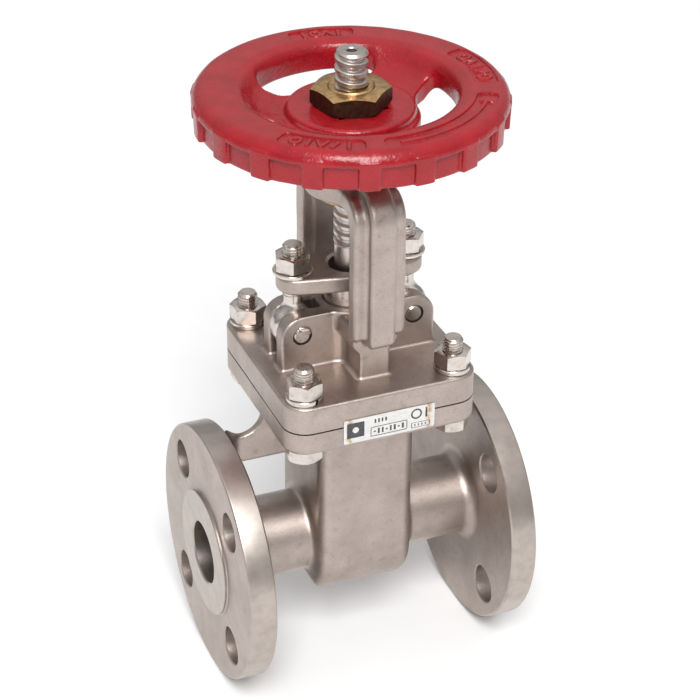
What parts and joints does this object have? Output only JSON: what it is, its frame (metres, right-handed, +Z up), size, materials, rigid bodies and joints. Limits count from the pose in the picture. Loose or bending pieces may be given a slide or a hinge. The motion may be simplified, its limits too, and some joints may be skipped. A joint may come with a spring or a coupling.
{
  "type": "gate valve",
  "caption": "Flanged gate valve with bolted bonnet, outside screw and yoke, rising stem, two-bolt gland and spoked handwheel that lifts a wedge across a straight bore.",
  "frame": {"origin": "where the pipe's centre line meets the stem's axis", "axes": "+X along the pipe's centre line towards the outlet flange, +Z up the stem towards the handwheel, -Y towards the side that carries the name plate"},
  "size_m": [0.127, 0.121, 0.2658],
  "materials": {
    "cast_steel": "blasted stainless steel casting, satin",
    "machined_steel": "machined stainless steel",
    "stem_steel": "turned and threaded stainless steel",
    "fastener_steel": "stainless steel fastener",
    "bronze": "machined bronze",
    "brass": "rolled brass, sides tarnished dark",
    "red_paint": "gloss red paint on rough cast iron",
    "graphite": "compressed graphite, matt",
    "plate_metal": "thin etched plate"
  },
  "bodies": {
    "valve_body": {"body": "cast_steel", "bonnet": "cast_steel", "bonnet_gasket": "graphite", "seat_ring_inlet": "machined_steel", "seat_ring_outlet": "machined_steel", "back_seat_bush": "bronze", "packing_ring_1": "graphite", "packing_ring_2": "graphite", "packing_ring_3": "graphite", "packing_ring_4": "graphite", "packing_ring_5": "graphite", "eyebolt_left": "fastener_steel", "eyebolt_right": "fastener_steel", "eyebolt_pin_left": "fastener_steel", "eyebolt_pin_right": "fastener_steel", "bonnet_bolt_1": "fastener_steel", "bonnet_bolt_2": "fastener_steel", "bonnet_bolt_3": "fastener_steel", "bonnet_bolt_4": "fastener_steel", "spring_washer_1": "fastener_steel", "spring_washer_2": "fastener_steel", "spring_washer_3": "fastener_steel", "spring_washer_4": "fastener_steel", "bonnet_nut_1": "fastener_steel", "bonnet_nut_2": "fastener_steel", "bonnet_nut_3": "fastener_steel", "bonnet_nut_4": "fastener_steel", "nameplate": "plate_metal"},
    "wheel_assembly": {"handwheel": "red_paint", "handwheel_nut": "brass", "yoke_nut": "bronze"},
    "stem_and_wedge": {"stem": "stem_steel", "wedge": "machined_steel"},
    "gland": {"gland_flange": "cast_steel", "packing_gland": "machined_steel", "gland_washer_left": "fastener_steel", "gland_washer_right": "fastener_steel"},
    "gland_nut_left": {"gland_nut_left": "fastener_steel"},
    "gland_nut_right": {"gland_nut_right": "fastener_steel"}
  },
  "joints": [
    {"name": "handwheel_turn", "type": "hinge", "parent": "valve_body", "child": "wheel_assembly", "pos_m": [0, 0, 0.185], "axis": [0, 0, 1], "range_deg": [0, 2700]},
    {"name": "stem_rise", "type": "slide", "parent": "valve_body", "child": "stem_and_wedge", "axis": [0, 0, 1], "range_m": [0, 0.0301]},
    {"name": "gland_takeup", "type": "slide", "parent": "valve_body", "child": "gland", "axis": [0, 0, -1], "range_m": [0, 0.003], "deforming": ["packing_ring_1", "packing_ring_2", "packing_ring_3", "packing_ring_4", "packing_ring_5"]},
    {"name": "gland_nut_left_turn", "type": "hinge", "parent": "gland", "child": "gland_nut_left", "pos_m": [-0.0237, 0, 0.128], "axis": [0, 0, 1], "range_deg": [-865, 0]},
    {"name": "gland_nut_right_turn", "type": "hinge", "parent": "gland", "child": "gland_nut_right", "pos_m": [0.0237, 0, 0.128], "axis": [0, 0, 1], "range_deg": [-865, 0]}
  ],
  "couplings": [
    {"joint": "stem_rise", "follows": "handwheel_turn", "m_per_rad": 0.00063662},
    {"joint": "gland_nut_left_turn", "follows": "gland_takeup", "rad_per_m": -5026.5},
    {"joint": "gland_nut_right_turn", "follows": "gland_takeup", "rad_per_m": -5026.5}
  ]
}
